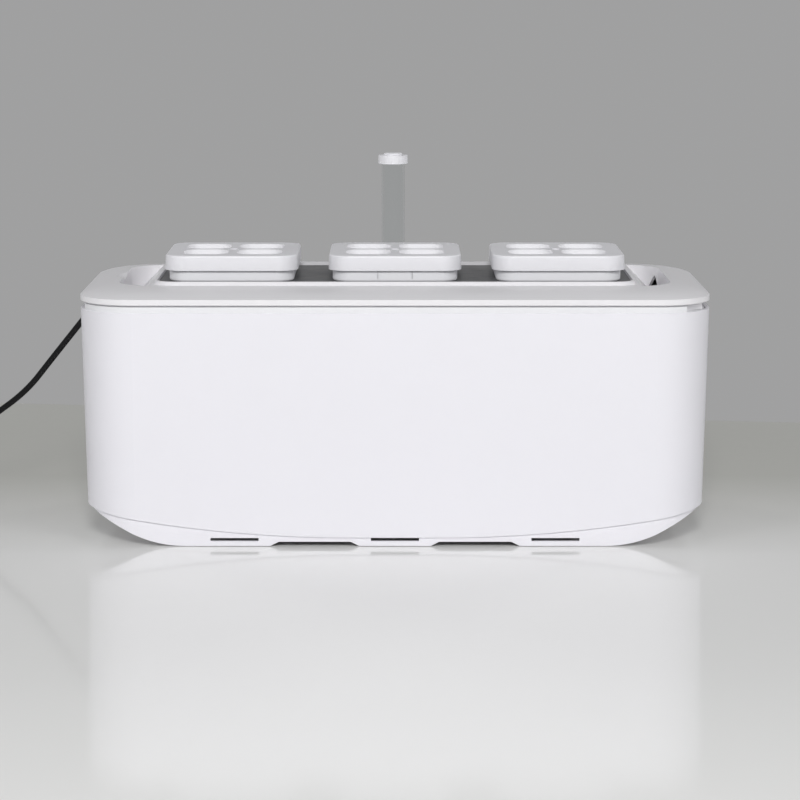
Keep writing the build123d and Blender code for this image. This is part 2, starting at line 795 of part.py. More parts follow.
with BuildPart() as pump_housing:
    with BuildSketch(Plane((pump_x, pump_y, pump_low))):
        RectangleRounded(pump_length, pump_width, pump_round)
    extrude(amount=pump_height)
    with BuildSketch(pump_plane(pump_front)):
        Circle(chamber_radius)
    extrude(amount=chamber_depth, mode=Mode.SUBTRACT)
    with BuildSketch(pump_plane(chamber_back)):
        Circle(rotor_radius + rotor_gap)
    extrude(amount=rotor_length + rotor_gap, mode=Mode.SUBTRACT)
    with BuildSketch(pump_plane(rotor_end)):
        Circle(shaft_radius + snug_gap)
    extrude(amount=chamber_depth, mode=Mode.SUBTRACT)
    with BuildSketch(Plane((pump_x, outlet_y, axis_height))):
        Circle(outlet_bore)
    extrude(amount=pump_height, mode=Mode.SUBTRACT)
finish(pump_housing, "pump_housing")

with BuildPart() as pump_shaft:
    with BuildSketch(pump_plane(pump_front + rotor_gap)):
        Circle(shaft_radius)
    extrude(amount=chamber_depth + rotor_length + chamber_depth - rotor_gap)
finish(pump_shaft, "pump_shaft")

with BuildPart() as pump_impeller:
    blade_start = pump_front + rotor_gap
    with BuildSketch(pump_plane(blade_start)):
        Circle(hub_radius)
        with PolarLocations((hub_radius + chamber_radius) / 2 - rotor_gap, blade_count):
            Rectangle(chamber_radius - hub_radius, blade_width)
    extrude(amount=blade_height)
    with BuildSketch(pump_plane(blade_start + blade_height)):
        Circle(chamber_radius - 2 * rotor_gap)
    extrude(amount=chamber_back - rotor_gap - blade_start - blade_height)
    with BuildSketch(pump_plane(blade_start)):
        Circle(shaft_radius + shaft_gap)
    extrude(amount=chamber_depth, mode=Mode.SUBTRACT)
finish(pump_impeller, "pump_impeller")

with BuildPart() as rotor_magnet:
    with BuildSketch(pump_plane(chamber_back - rotor_gap)):
        Circle(rotor_radius)
        Circle(shaft_radius + shaft_gap, mode=Mode.SUBTRACT)
    extrude(amount=rotor_length)
finish(rotor_magnet, "rotor_magnet")

inlet_front = pump_front - inlet_cover_depth
with BuildPart() as pump_inlet:
    with BuildSketch(pump_plane(inlet_front)):
        RectangleRounded(pump_length - 2 * pump_round, pump_height, pump_round)
    extrude(amount=inlet_cover_depth)
    with BuildSketch(pump_plane(inlet_front + inlet_cover_wall)):
        RectangleRounded(
            pump_length - 2 * pump_round - 2 * inlet_cover_wall,
            pump_height - 2 * inlet_cover_wall,
            pump_round - inlet_cover_wall,
        )
    extrude(amount=inlet_cover_depth, mode=Mode.SUBTRACT)
    with BuildSketch(pump_plane(inlet_front)):
        with GridLocations(inlet_slot_spacing, 0, inlet_slot_count, 1):
            SlotOverall(pump_height - 2 * pump_round, inlet_slot_width, rotation=90)
    extrude(amount=inlet_cover_wall, mode=Mode.SUBTRACT)
finish(pump_inlet, "pump_inlet")

with BuildPart() as pump_filter:
    with BuildSketch(pump_plane(inlet_front + inlet_cover_wall)):
        RectangleRounded(
            pump_length - 2 * pump_round - 2 * inlet_cover_wall - 2 * slip_gap,
            pump_height - 2 * inlet_cover_wall - 2 * slip_gap,
            pump_round - inlet_cover_wall - slip_gap,
        )
    extrude(amount=inlet_cover_depth - inlet_cover_wall - slip_gap)
finish(pump_filter, "pump_filter")

with BuildPart() as pump_outlet:
    with BuildSketch(Plane((pump_x, outlet_y, pump_low + pump_height))):
        Circle(outlet_radius)
        Circle(outlet_bore, mode=Mode.SUBTRACT)
    extrude(amount=outlet_height)
    fillet(pump_outlet.faces().sort_by(Axis.Z)[-1].outer_wire().edges(), edge_round)
finish(pump_outlet, "pump_outlet")

with BuildPart() as suction_cups:
    with Locations((pump_x, pump_y, tank_bed)):
        with GridLocations(cup_spacing_x, cup_spacing_y, 2, 2):
            Cone(
                cup_radius,
                cup_neck_radius,
                cup_height,
                align=(Align.CENTER, Align.CENTER, Align.MIN),
            )
finish(suction_cups, "suction_cups")

# Cable inside the tank: up from the pump, over the wall and down through the cord notch
tilt = math.radians(exit_angle)
bend_x = exit_x + cable_bend * math.sin(tilt)
bend_z = exit_z - cable_bend * math.cos(tilt)
cable_x = bend_x + cable_bend
cable_foot = pump_low + pump_height
cable_plane = Plane((0, cord_y, 0), x_dir=(1, 0, 0), z_dir=(0, -1, 0))

with BuildPart() as cable_bore:
    with BuildLine(cable_plane):
        bore_rise = Line((cable_x, cable_foot), (cable_x, bend_z))
        bore_bend = CenterArc((bend_x, bend_z), cable_bend, 0, 90 + exit_angle)
        Line(bore_bend @ 1, bore_bend @ 1 + (bore_bend % 1) * overrun)
    with BuildSketch(Plane((cable_x, cord_y, cable_foot))):
        Circle(cord_radius + snug_gap)
    sweep()

with BuildPart() as pump_cable:
    with BuildLine(cable_plane):
        Line((cable_x, cable_foot), (cable_x, bend_z))
        CenterArc((bend_x, bend_z), cable_bend, 0, 90 + exit_angle)
    with BuildSketch(Plane((cable_x, cord_y, cable_foot))):
        Circle(cord_radius)
    sweep()
finish(pump_cable, "pump_cable")

with BuildPart() as cable_grommet:
    grommet_outer = shell_length / 2 - lean_at(notch_low)
    grommet_inner = shell_length / 2 - bore_inset - lean_at(notch_low)
    with BuildSketch(Plane((-grommet_outer, cord_y, notch_low))):
        Rectangle(
            grommet_outer - grommet_inner,
            notch_width - 2 * snug_gap,
            align=(Align.MIN, Align.CENTER),
        )
    extrude(amount=lid_seat - slip_gap - notch_low)
    add(cable_bore.part, mode=Mode.SUBTRACT)
finish(cable_grommet, "cable_grommet")

# Free cord: straight runs and tangent arcs through the route's points
route = [Vector(*point) for point in cord_route]
runs = [after - before for before, after in zip(route, route[1:])]
bends = []
for before, after in zip(runs, runs[1:]):
    half_turn = math.radians(before.get_angle(after)) / 2
    bends.append(fillet_share * min(before.length, after.length) / math.tan(half_turn))
print("cord bend radii", [round(bend, 1) for bend in bends])

with BuildPart() as power_cord:
    with BuildLine() as cord_line:
        FilletPolyline(*route, radius=bends)
    with BuildSketch(Plane(cord_line.line @ 0, z_dir=cord_line.line % 0)):
        Circle(cord_radius)
    sweep()
finish(power_cord, "power_cord")
cord_length = cord_line.wire().length
print("cord", round(cord_length, 1), "volume share",
      round(power_cord.part.volume / (math.pi * cord_radius**2 * cord_length), 4))

# Coil of the put-away length: spiral in, climb a layer, spiral out, then down to the plug
heading = (route[-1] - route[-2]).normalized()
sideways = Vector(heading.Y, -heading.X, 0)
coil_outer = coil_turn_radius + coil_turn_spacing * coil_turns / 2
coil_inner = coil_turn_radius - coil_turn_spacing * coil_turns / 2
coil_start = route[-1] + heading * cord_diameter
coil_centre = coil_start - sideways * coil_outer
climb_end = coil_turns + climb_turns
layer_end = climb_end + coil_turns
plug_rise = plug_thickness / 2 - route[-1].Z


def coil_radius(turn):
    """Distance from the coil's axis after a number of turns."""
    if turn < coil_turns + quarter_turn:
        return coil_outer - coil_turn_spacing * turn
    if turn < layer_end:
        return coil_inner + coil_turn_spacing * (turn - climb_end)
    step = (turn - layer_end) / quarter_turn
    first, second = coil_exit_shares
    share = first * step if step < 1 else first + (second - first) * (step - 1)
    return coil_outer + coil_turn_spacing * share


def coil_height(turn):
    """Height above the coil's start after a number of turns."""
    if turn < coil_turns:
        return 0.0
    if turn < climb_end:
        return coil_layer_spacing * (turn - coil_turns) / climb_turns
    if turn < layer_end + quarter_turn:
        return coil_layer_spacing
    drop_share = (turn - layer_end - quarter_turn) / quarter_turn
    return coil_layer_spacing + (plug_rise - coil_layer_spacing) * drop_share


def coil_point(turn):
    """Point on the coil's centre line after a number of turns."""
    angle = 2 * math.pi * turn
    flat = sideways * math.cos(angle) + heading * math.sin(angle)
    return coil_centre + flat * coil_radius(turn) + Vector(0, 0, coil_height(turn))


def coil_tangent(turn, step_share=0.02):
    """Direction of the coil's centre line, level at both ends."""
    if turn <= 0:
        return heading
    if turn >= layer_end + climb_turns:
        return heading * -1
    return (coil_point(turn + step_share) - coil_point(turn - step_share)).normalized()


def biarc_joint(start, start_way, end, end_way):
    """Point where two equal-reach tangent arcs from start to end meet."""
    chord = end - start
    ways = start_way + end_way
    quad = 2 * (start_way.dot(end_way) - 1)
    line = chord.dot(ways)
    reach = (line - math.sqrt(line**2 - quad * chord.dot(chord))) / quad
    return (start + start_way * reach + end - end_way * reach) * 0.5


quarters = round((layer_end + climb_turns) / quarter_turn)
with BuildPart() as cord_coil:
    with BuildLine() as coil_line:
        Line(route[-1], coil_start)
        for quarter in range(quarters):
            turn_a = quarter * quarter_turn
            turn_b = turn_a + quarter_turn
            here, there = coil_point(turn_a), coil_point(turn_b)
            way_here, way_there = coil_tangent(turn_a), coil_tangent(turn_b)
            joint = biarc_joint(here, way_here, there, way_there)
            first_arc = TangentArc(here, joint, tangent=way_here)
            TangentArc(joint, there, tangent=first_arc % 1)
        coil_end = coil_point(quarters * quarter_turn)
        tail = Line(coil_end, coil_end - heading * cord_diameter)
    with BuildSketch(Plane(route[-1], z_dir=heading)):
        Circle(cord_radius)
    sweep()
finish(cord_coil, "cord_coil")
coil_wire = coil_line.wire()
coil_length = coil_wire.length
print("coil", round(coil_length, 1), "whole lead", round(cord_length + coil_length, 1), "volume share",
      round(cord_coil.part.volume / (math.pi * cord_radius**2 * coil_length), 4))

# Least gap of the coil to itself, on points, leaving out points close along the tube
steps = 400
samples = [coil_wire.position_at(i / steps) for i in range(steps + 1)]
skip = math.ceil(math.pi * coil_inner / (coil_length / steps))
coil_gap = min(
    (samples[i] - samples[j]).length for i in range(steps + 1) for j in range(i + skip, steps + 1)
)
print("least gap of the coil to itself", round(coil_gap - cord_diameter, 2))

# Tie round the coil's bundle, on the side away from both ends
tie_turn = 0.75
tie_way = heading * math.sin(2 * math.pi * tie_turn) + sideways * math.cos(2 * math.pi * tie_turn)
bundle_inner = coil_inner - coil_turn_spacing / 2 - cord_radius - tie_gap
bundle_outer = coil_outer + cord_radius + tie_gap
bundle_low = route[-1].Z - cord_radius - tie_gap
bundle_high = route[-1].Z + coil_layer_spacing + cord_radius + tie_gap
with BuildPart() as cord_tie:
    tie_origin = coil_centre + tie_way * (bundle_inner + bundle_outer) / 2
    tie_middle = Vector(tie_origin.X, tie_origin.Y, (bundle_low + bundle_high) / 2)
    with BuildSketch(Plane(tie_middle, x_dir=tie_way, z_dir=tie_way.cross(Vector(0, 0, 1)))):
        Rectangle(bundle_outer - bundle_inner + 2 * tie_wall, bundle_high - bundle_low + 2 * tie_wall)
        Rectangle(bundle_outer - bundle_inner, bundle_high - bundle_low, mode=Mode.SUBTRACT)
    extrude(amount=tie_width / 2, both=True)
finish(cord_tie, "cord_tie")

# Plug at the lead's end, lying beside the coil
plug_way = heading * -1
relief_start = coil_end + plug_way * cord_diameter
body_start = relief_start + plug_way * relief_length
shell_start = body_start + plug_way * plug_length


def plug_plane(start):
    """Plane across the plug's axis with the plug's width lying level."""
    return Plane(start, x_dir=Vector(0, 0, 1).cross(plug_way), z_dir=plug_way)


with BuildPart() as plug_relief:
    with BuildSketch(plug_plane(relief_start)):
        Circle(relief_radius)
    extrude(amount=relief_length)
finish(plug_relief, "plug_relief")

with BuildPart() as plug_body:
    with BuildSketch(plug_plane(body_start)):
        RectangleRounded(plug_width, plug_thickness, plug_round)
    extrude(amount=plug_length)
    fillet(plug_body.faces().sort_by(Axis((0, 0, 0), tuple(plug_way)))[0].edges(), edge_round)
finish(plug_body, "plug_body")

with BuildPart() as plug_shell:
    with BuildSketch(plug_plane(shell_start)):
        Rectangle(plug_shell_width, plug_shell_thickness)
        Rectangle(
            plug_shell_width - 2 * plug_shell_wall,
            plug_shell_thickness - 2 * plug_shell_wall,
            mode=Mode.SUBTRACT,
        )
    extrude(amount=plug_shell_length)
finish(plug_shell, "plug_shell")

with BuildPart() as plug_tongue:
    tongue_thickness = plug_shell_thickness * plug_tongue_share
    with BuildSketch(plug_plane(shell_start)):
        with Locations((0, -plug_shell_thickness / 2 + plug_shell_wall + tongue_thickness / 2)):
            Rectangle(plug_shell_width - 2 * plug_shell_wall, tongue_thickness)
    extrude(amount=plug_shell_length - plug_shell_thickness / 2)
finish(plug_tongue, "plug_tongue")
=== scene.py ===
import json
import math

import bmesh
import bpy
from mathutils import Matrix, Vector, noise


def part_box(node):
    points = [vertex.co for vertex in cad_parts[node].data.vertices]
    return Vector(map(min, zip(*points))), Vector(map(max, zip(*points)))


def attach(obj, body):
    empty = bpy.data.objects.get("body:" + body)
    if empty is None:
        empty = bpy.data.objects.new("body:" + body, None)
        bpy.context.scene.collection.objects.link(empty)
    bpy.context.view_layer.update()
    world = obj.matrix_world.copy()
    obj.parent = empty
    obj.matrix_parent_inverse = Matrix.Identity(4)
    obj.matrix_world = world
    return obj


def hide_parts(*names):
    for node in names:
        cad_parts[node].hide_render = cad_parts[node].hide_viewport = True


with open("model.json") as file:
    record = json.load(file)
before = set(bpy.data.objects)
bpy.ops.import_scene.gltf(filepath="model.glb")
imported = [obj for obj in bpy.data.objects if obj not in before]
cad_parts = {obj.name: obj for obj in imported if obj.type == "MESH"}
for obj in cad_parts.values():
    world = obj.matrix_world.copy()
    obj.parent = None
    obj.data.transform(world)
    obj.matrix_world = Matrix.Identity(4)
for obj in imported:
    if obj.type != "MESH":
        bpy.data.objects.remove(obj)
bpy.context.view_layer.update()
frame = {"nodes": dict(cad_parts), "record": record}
scene = bpy.context.scene
nodes = frame["nodes"]
scene.view_settings.view_transform = "Standard"

# Camera, at the photograph's place
IMAGE_WIDTH = 800
FOCAL_PIXELS = 2687.7
SHIFT_PIXELS = 5.0
CAMERA_PLACE = (0.0, -1.8884, 0.39384)
LOOK_DOWN_DEGREES = 9.27
camera_data = bpy.data.cameras.new("camera")
camera_data.sensor_width = 36.0
camera_data.sensor_fit = "HORIZONTAL"
camera_data.lens = camera_data.sensor_width * FOCAL_PIXELS / IMAGE_WIDTH
camera_data.shift_x = SHIFT_PIXELS / IMAGE_WIDTH
camera = bpy.data.objects.new("camera", camera_data)
camera.location = CAMERA_PLACE
camera.rotation_euler = (math.radians(90.0 - LOOK_DOWN_DEGREES), 0.0, 0.0)
scene.collection.objects.link(camera)
scene.camera = camera

# Lead: one spline from the exit, down to the table and round its coil to the plug
CORD_DIAMETER = 0.0044
cord_route = [
    (-0.2132, 0.055, 0.1497),
    (-0.2234, 0.055, 0.14115),
    (-0.236, 0.0575, 0.1255),
    (-0.251, 0.061, 0.107),
    (-0.272, 0.067, 0.0805),
    (-0.303, 0.077, 0.058),
    (-0.330, 0.088, 0.0315),
    (-0.353, 0.097, 0.0086),
    (-0.380, 0.104, 0.0036),
    (-0.406, 0.104, 0.0036),
]
COIL_TURN_RADIUS = 0.0242
COIL_SPACING = 0.0052
COIL_TURNS = 3.25
COIL_STEPS = 16
CLIMB_TURNS = 0.5
QUARTER_TURN = 0.25
LEAVE_SHARE = 1.1
DRIFT_SHARE = 0.25
PLUG_RISE = 0.0004
coil_outer = COIL_TURN_RADIUS + COIL_SPACING * COIL_TURNS / 2
coil_inner = COIL_TURN_RADIUS - COIL_SPACING * COIL_TURNS / 2
climb_end = COIL_TURNS + CLIMB_TURNS
layer_end = climb_end + COIL_TURNS
heading = Vector((-1.0, 0.0, 0.0))
sideways = Vector((0.0, 1.0, 0.0))
coil_start = Vector(cord_route[-1]) + heading * CORD_DIAMETER
coil_centre = coil_start - sideways * coil_outer


def coil_point(turn):
    """Control point of the coil after a number of turns, a little outside the line it gives."""
    if turn < COIL_TURNS + QUARTER_TURN:
        radius = coil_outer - COIL_SPACING * turn
    elif turn < layer_end:
        radius = coil_inner + COIL_SPACING * (turn - climb_end)
    else:
        step = (turn - layer_end) / QUARTER_TURN
        share = LEAVE_SHARE * step if step < 1 else LEAVE_SHARE + DRIFT_SHARE * (step - 1)
        radius = coil_outer + COIL_SPACING * share
    if turn < COIL_TURNS:
        height = 0.0
    elif turn < climb_end:
        height = COIL_SPACING * (turn - COIL_TURNS) / CLIMB_TURNS
    elif turn < layer_end + QUARTER_TURN:
        height = COIL_SPACING
    else:
        fall = (turn - layer_end - QUARTER_TURN) / QUARTER_TURN
        height = COIL_SPACING + (PLUG_RISE - COIL_SPACING) * fall
    angle = 2 * math.pi * turn
    radius /= math.cos(math.pi / COIL_STEPS)
    flat = sideways * math.cos(angle) + heading * math.sin(angle)
    return coil_centre + flat * radius + Vector((0.0, 0.0, height))


coil_count = round((layer_end + 2 * QUARTER_TURN) * COIL_STEPS)
coil_points = [coil_point(i / COIL_STEPS) for i in range(1, coil_count + 1)]
end_radius = coil_outer + COIL_SPACING * (LEAVE_SHARE + DRIFT_SHARE)
coil_end = coil_centre - sideways * end_radius + Vector((0, 0, PLUG_RISE))
coil_points[-1] = coil_end
plug_point = coil_end - heading * CORD_DIAMETER
cord_points = cord_route + [tuple(p) for p in coil_points] + [tuple(plug_point)]

# The points carry the thickness, so that the curve's box is that of the lead
cord_curve = bpy.data.curves.new("lead", "CURVE")
cord_curve.dimensions = "3D"
cord_spline = cord_curve.splines.new("NURBS")
cord_spline.points.add(len(cord_points) - 1)
for control, place in zip(cord_spline.points, cord_points):
    control.co = (*place, 1.0)
    control.radius = CORD_DIAMETER / 2
cord_spline.order_u = 3
cord_spline.use_endpoint_u = True
cord_spline.resolution_u = 8
cord_curve.bevel_depth = 1.0
cord_curve.bevel_resolution = 6
cord_curve.use_fill_caps = True
lead = bpy.data.objects.new("lead", cord_curve)
scene.collection.objects.link(lead)
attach(lead, "box")
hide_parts("power_cord", "cord_coil")

# Materials. A noise is its scale, detail, roughness and stretch along the axes, and a bump is its
# strength and its depth in metres
NOISE_LOW = 0.3
NOISE_HIGH = 0.7
CLOUD_DETAIL = 3.0
GRAIN_DETAIL = 2.0
GRAIN_STRENGTH = 0.12
MARK_NOISE = (60.0, 6.0, 0.7, (1.0, 1.0, 0.35))
PEEL_NOISE = (120.0, 2.0)
PEEL_BUMP = (0.04, 0.0001)
LINE_NOISE = (700.0, 3.0, 0.6)
LINE_TONE = 0.88
LINE_BUMP = (0.2, 0.00003)
LINE_SMOOTHER = 0.06
LINE_ROUGHER = 0.08
CELL_SCALE = 900.0
CELL_START = 0.05
CELL_STOP = 0.4
CELL_BUMP = (0.6, 0.0006)
FOAM_NOISE_SCALE = 200.0
FOAM_ROUGHNESS = (0.85, 1.0)
FOAM_SHEEN = 0.2
TUBE_IOR = 1.1
FLOW_NOISE = (45.0, 3.0, 0.6, (1.0, 1.0, 0.4))
FLOW_ROUGHNESS = (0.0, 0.06)
FLOW_BUMP = (0.15, 0.0004)


def link(tree, a, b):
    """Links one socket to another."""
    tree.links.new(a, b)


def new_material(name):
    """A material with nodes, its tree and its shader."""
    mat = bpy.data.materials.new(name)
    mat.use_nodes = True
    return mat, mat.node_tree, mat.node_tree.nodes["Principled BSDF"]


def noise_node(tree, scale, detail=4.0, rough=0.55, stretch=(1.0, 1.0, 1.0)):
    """Noise on the object's own coordinates, stretched by a factor on each axis."""
    place = tree.nodes.new("ShaderNodeTexCoord")
    mapping = tree.nodes.new("ShaderNodeMapping")
    mapping.inputs["Scale"].default_value = stretch
    link(tree, place.outputs["Object"], mapping.inputs["Vector"])
    texture = tree.nodes.new("ShaderNodeTexNoise")
    texture.inputs["Scale"].default_value = scale
    texture.inputs["Detail"].default_value = detail
    texture.inputs["Roughness"].default_value = rough
    link(tree, mapping.outputs["Vector"], texture.inputs["Vector"])
    return texture.outputs["Fac"]


def ramp(tree, source, low, high, start=NOISE_LOW, stop=NOISE_HIGH):
    """Colours from low to high as the source goes from start to stop."""
    node = tree.nodes.new("ShaderNodeValToRGB")
    node.color_ramp.elements[0].position = start
    node.color_ramp.elements[1].position = stop
    node.color_ramp.elements[0].color = (*low, 1.0)
    node.color_ramp.elements[1].color = (*high, 1.0)
    link(tree, source, node.inputs["Fac"])
    return node.outputs["Color"]


def spread(tree, source, low, high):
    """Values from low to high as the source goes over the middle of its range."""
    node = tree.nodes.new("ShaderNodeMapRange")
    node.inputs["From Min"].default_value = NOISE_LOW
    node.inputs["From Max"].default_value = NOISE_HIGH
    node.inputs["To Min"].default_value = low
    node.inputs["To Max"].default_value = high
    link(tree, source, node.inputs["Value"])
    return node.outputs["Result"]


def bump(tree, source, strength, distance, before=None):
    """Bump from a height, on top of another bump where one is given."""
    node = tree.nodes.new("ShaderNodeBump")
    node.inputs["Strength"].default_value = strength
    node.inputs["Distance"].default_value = distance
    link(tree, source, node.inputs["Height"])
    if before is not None:
        link(tree, before, node.inputs["Normal"])
    return node.outputs["Normal"]


def moulded(name, color, rough, grain, grain_depth, cloud, tone, wear, shine=0.5):
    """Moulded plastic: slow tone changes, handling marks in the gloss and a fine moulded grain."""
    mat, tree, shader = new_material(name)
    low = tuple(c * (1 - tone) for c in color)
    high = tuple(min(1.0, c * (1 + tone)) for c in color)
    clouds = noise_node(tree, cloud, CLOUD_DETAIL)
    link(tree, ramp(tree, clouds, low, high), shader.inputs["Base Color"])
    marks = noise_node(tree, *MARK_NOISE)
    link(tree, spread(tree, marks, rough - wear, rough + wear), shader.inputs["Roughness"])
    fine = noise_node(tree, grain, GRAIN_DETAIL)
    peel = bump(tree, noise_node(tree, *PEEL_NOISE), *PEEL_BUMP)
    link(tree, bump(tree, fine, GRAIN_STRENGTH, grain_depth, peel), shader.inputs["Normal"])
    shader.inputs["Specular IOR Level"].default_value = shine
    return mat


def metal(name, color, rough, stretch):
    """Drawn or turned metal with fine lines along one axis."""
    mat, tree, shader = new_material(name)
    shader.inputs["Metallic"].default_value = 1.0
    lines = noise_node(tree, *LINE_NOISE, stretch)
    low = tuple(c * LINE_TONE for c in color)
    link(tree, ramp(tree, lines, low, color), shader.inputs["Base Color"])
    worn = spread(tree, lines, rough - LINE_SMOOTHER, rough + LINE_ROUGHER)
    link(tree, worn, shader.inputs["Roughness"])
    link(tree, bump(tree, lines, *LINE_BUMP), shader.inputs["Normal"])
    return mat


def foam(name, color, shade):
    """Open foam: cells as dark pits with pale walls, the pits' darkness being painted shade."""
    mat, tree, shader = new_material(name)
    place = tree.nodes.new("ShaderNodeTexCoord")
    cells = tree.nodes.new("ShaderNodeTexVoronoi")
    cells.inputs["Scale"].default_value = CELL_SCALE
    link(tree, place.outputs["Object"], cells.inputs["Vector"])
    pits = cells.outputs["Distance"]
    # Painted shade: the pits take the darker colour, the walls the paler one
    tones = ramp(tree, pits, shade, color, CELL_START, CELL_STOP)
    link(tree, tones, shader.inputs["Base Color"])
    rough = noise_node(tree, FOAM_NOISE_SCALE)
    link(tree, spread(tree, rough, *FOAM_ROUGHNESS), shader.inputs["Roughness"])
    link(tree, bump(tree, pits, *CELL_BUMP), shader.inputs["Normal"])
    shader.inputs["Sheen Weight"].default_value = FOAM_SHEEN
    return mat


def clear(name, color):
    """Clear acrylic with faint flow lines."""
    mat, tree, shader = new_material(name)
    shader.inputs["Base Color"].default_value = (*color, 1.0)
    shader.inputs["Transmission Weight"].default_value = 1.0
    shader.inputs["IOR"].default_value = TUBE_IOR
    flow = noise_node(tree, *FLOW_NOISE)
    link(tree, spread(tree, flow, *FLOW_ROUGHNESS), shader.inputs["Roughness"])
    link(tree, bump(tree, flow, *FLOW_BUMP), shader.inputs["Normal"])
    return mat


# Looks by material slot: colour, roughness, grain scale, grain depth in metres, cloud scale,
# tone change, wear of the gloss and, where it isn't the usual one, the specular level
MOULDED_LOOKS = {
    "shell_white": ((0.865, 0.855, 0.9), 0.3, 700.0, 0.00003, 6.0, 0.006, 0.02),
    "lid_white": ((0.865, 0.855, 0.875), 0.38, 900.0, 0.00004, 9.0, 0.012, 0.04, 0.25),
    "cover_white": ((0.9, 0.895, 0.93), 0.34, 1000.0, 0.00004, 14.0, 0.012, 0.04),
    "basket_white": ((0.93, 0.93, 0.96), 0.4, 1000.0, 0.00005, 14.0, 0.015, 0.05),
    "tank_white": ((0.84, 0.84, 0.86), 0.42, 900.0, 0.00005, 10.0, 0.015, 0.05),
    "collar_white": ((0.8, 0.8, 0.81), 0.6, 1200.0, 0.00006, 30.0, 0.03, 0.06),
    "deck_dark": ((0.1, 0.1, 0.105), 0.42, 1400.0, 0.00008, 20.0, 0.06, 0.06),
    "float_white": ((0.85, 0.85, 0.82), 0.6, 1500.0, 0.0001, 60.0, 0.04, 0.06),
    "tip_red": ((0.62, 0.05, 0.04), 0.3, 900.0, 0.00003, 40.0, 0.05, 0.05),
    "rubber_black": ((0.03, 0.03, 0.03), 0.7, 1800.0, 0.0001, 60.0, 0.15, 0.08),
    "black_plastic": ((0.04, 0.04, 0.045), 0.45, 1300.0, 0.00008, 40.0, 0.1, 0.07),
    "plug_black": ((0.03, 0.03, 0.03), 0.5, 1500.0, 0.00008, 60.0, 0.12, 0.07),
    "tongue_white": ((0.85, 0.85, 0.85), 0.5, 1500.0, 0.00004, 90.0, 0.02, 0.05),
    "cord_black": ((0.006, 0.006, 0.007), 0.45, 1600.0, 0.00006, 80.0, 0.2, 0.08, 0.25),
    "tie_black": ((0.03, 0.03, 0.03), 0.45, 1500.0, 0.00005, 90.0, 0.15, 0.06),
    "magnet": ((0.08, 0.08, 0.08), 0.6, 1500.0, 0.0001, 80.0, 0.15, 0.08),
}
finishes = {slot: moulded(slot, *look) for slot, look in MOULDED_LOOKS.items()}
finishes["clear_tube"] = clear("clear_tube", (0.93, 0.94, 0.94))
# Pit colours: the filter foam's is painted shade; the sponge's is its greenish tint, darkened as
# painted shade in the pores
finishes["filter_foam"] = foam("filter_foam", (0.06, 0.06, 0.06), (0.012, 0.012, 0.012))
finishes["sponge"] = foam("sponge", (0.95, 0.955, 0.925), (0.72, 0.75, 0.64))
finishes["steel"] = metal("steel", (0.68, 0.68, 0.69), 0.28, (0.1, 1.0, 1.0))
for row in frame["record"]["subparts"]:
    piece = nodes[row["node"]]
    piece.data.materials.clear()
    piece.data.materials.append(finishes[row["material_slot"]])
lead.data.materials.append(finishes["cord_black"])

# Foam pieces: soft blocks with worn edges and an uneven skin, and a slit in each sponge
FOAM_CUTS = 23
TOP_SHARE = 0.999
CROWN_DROP = 0.0006
CROWN_START = 0.8
CROWN_WIDTH = 0.2
SLIT_SHARE = 0.62
SLIT_DEPTH = 0.004
SLIT_HALF_WIDTH = 0.0016
SKIN_SCALE = 1500.0
SKIN_DEPTH = 0.00022
HOLE_SPACING = 0.0372
SPONGE_CORNER = 0.0096
FILTER_CORNER = 0.002


def foam_block(bm, low, high, corner, slit):
    """Adds one foam block between two corners to a mesh, with a slit along X in its top."""
    centre = (low + high) / 2
    half = (high - low) / 2
    block = bmesh.new()
    bmesh.ops.create_cube(block, size=2.0)
    bmesh.ops.subdivide_edges(block, edges=block.edges[:], cuts=FOAM_CUTS, use_grid_fill=True)
    for v in block.verts:
        unit = v.co.copy()
        spot = Vector((unit.x * half.x, unit.y * half.y, unit.z * half.z))
        inner = Vector((
            max(-half.x + corner, min(half.x - corner, spot.x)),
            max(-half.y + corner, min(half.y - corner, spot.y)),
            spot.z,
        ))
        out = spot - inner
        if out.length > corner:
            spot = inner + out.normalized() * corner
        edge = max(abs(unit.x), abs(unit.y))
        if unit.z > TOP_SHARE:
            spot.z -= CROWN_DROP * max(0.0, edge - CROWN_START) / CROWN_WIDTH
            if slit and abs(spot.x) < half.x * SLIT_SHARE:
                spot.z -= SLIT_DEPTH * max(0.0, 1.0 - abs(spot.y) / SLIT_HALF_WIDTH)
        grain = noise.noise((centre + spot) * SKIN_SCALE)
        spot -= spot.normalized() * SKIN_DEPTH * (1.0 + grain)
        v.co = centre + spot
    part_mesh = bpy.data.meshes.new("foam_block")
    block.to_mesh(part_mesh)
    block.free()
    bm.from_mesh(part_mesh)
    bpy.data.meshes.remove(part_mesh)


def foam_piece(name, node, body, slot, blocks, corner, slit):
    """One object for all foam blocks of a CAD node, in that node's place."""
    bm = bmesh.new()
    for low, high in blocks:
        foam_block(bm, low, high, corner, slit)
    mesh = bpy.data.meshes.new(name)
    bm.to_mesh(mesh)
    bm.free()
    for face in mesh.polygons:
        face.use_smooth = True
    obj = bpy.data.objects.new(name, mesh)
    scene.collection.objects.link(obj)
    mesh.materials.append(finishes[slot])
    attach(obj, body)
    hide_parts(node)


for side in ("left", "centre", "right"):
    node = f"sponges_{side}"
    low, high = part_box(node)
    span = high - low
    size = Vector((span.x - HOLE_SPACING, span.y - HOLE_SPACING, span.z))
    steps = [Vector((i * HOLE_SPACING, j * HOLE_SPACING, 0.0)) for i in (0, 1) for j in (0, 1)]
    blocks = [(low + step, low + step + size) for step in steps]
    foam_piece(f"foam_{side}", node, f"{side}_cover", "sponge", blocks, SPONGE_CORNER, True)
filter_blocks = [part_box("pump_filter")]
foam_piece("foam_filter", "pump_filter", "box", "filter_foam", filter_blocks, FILTER_CORNER, False)
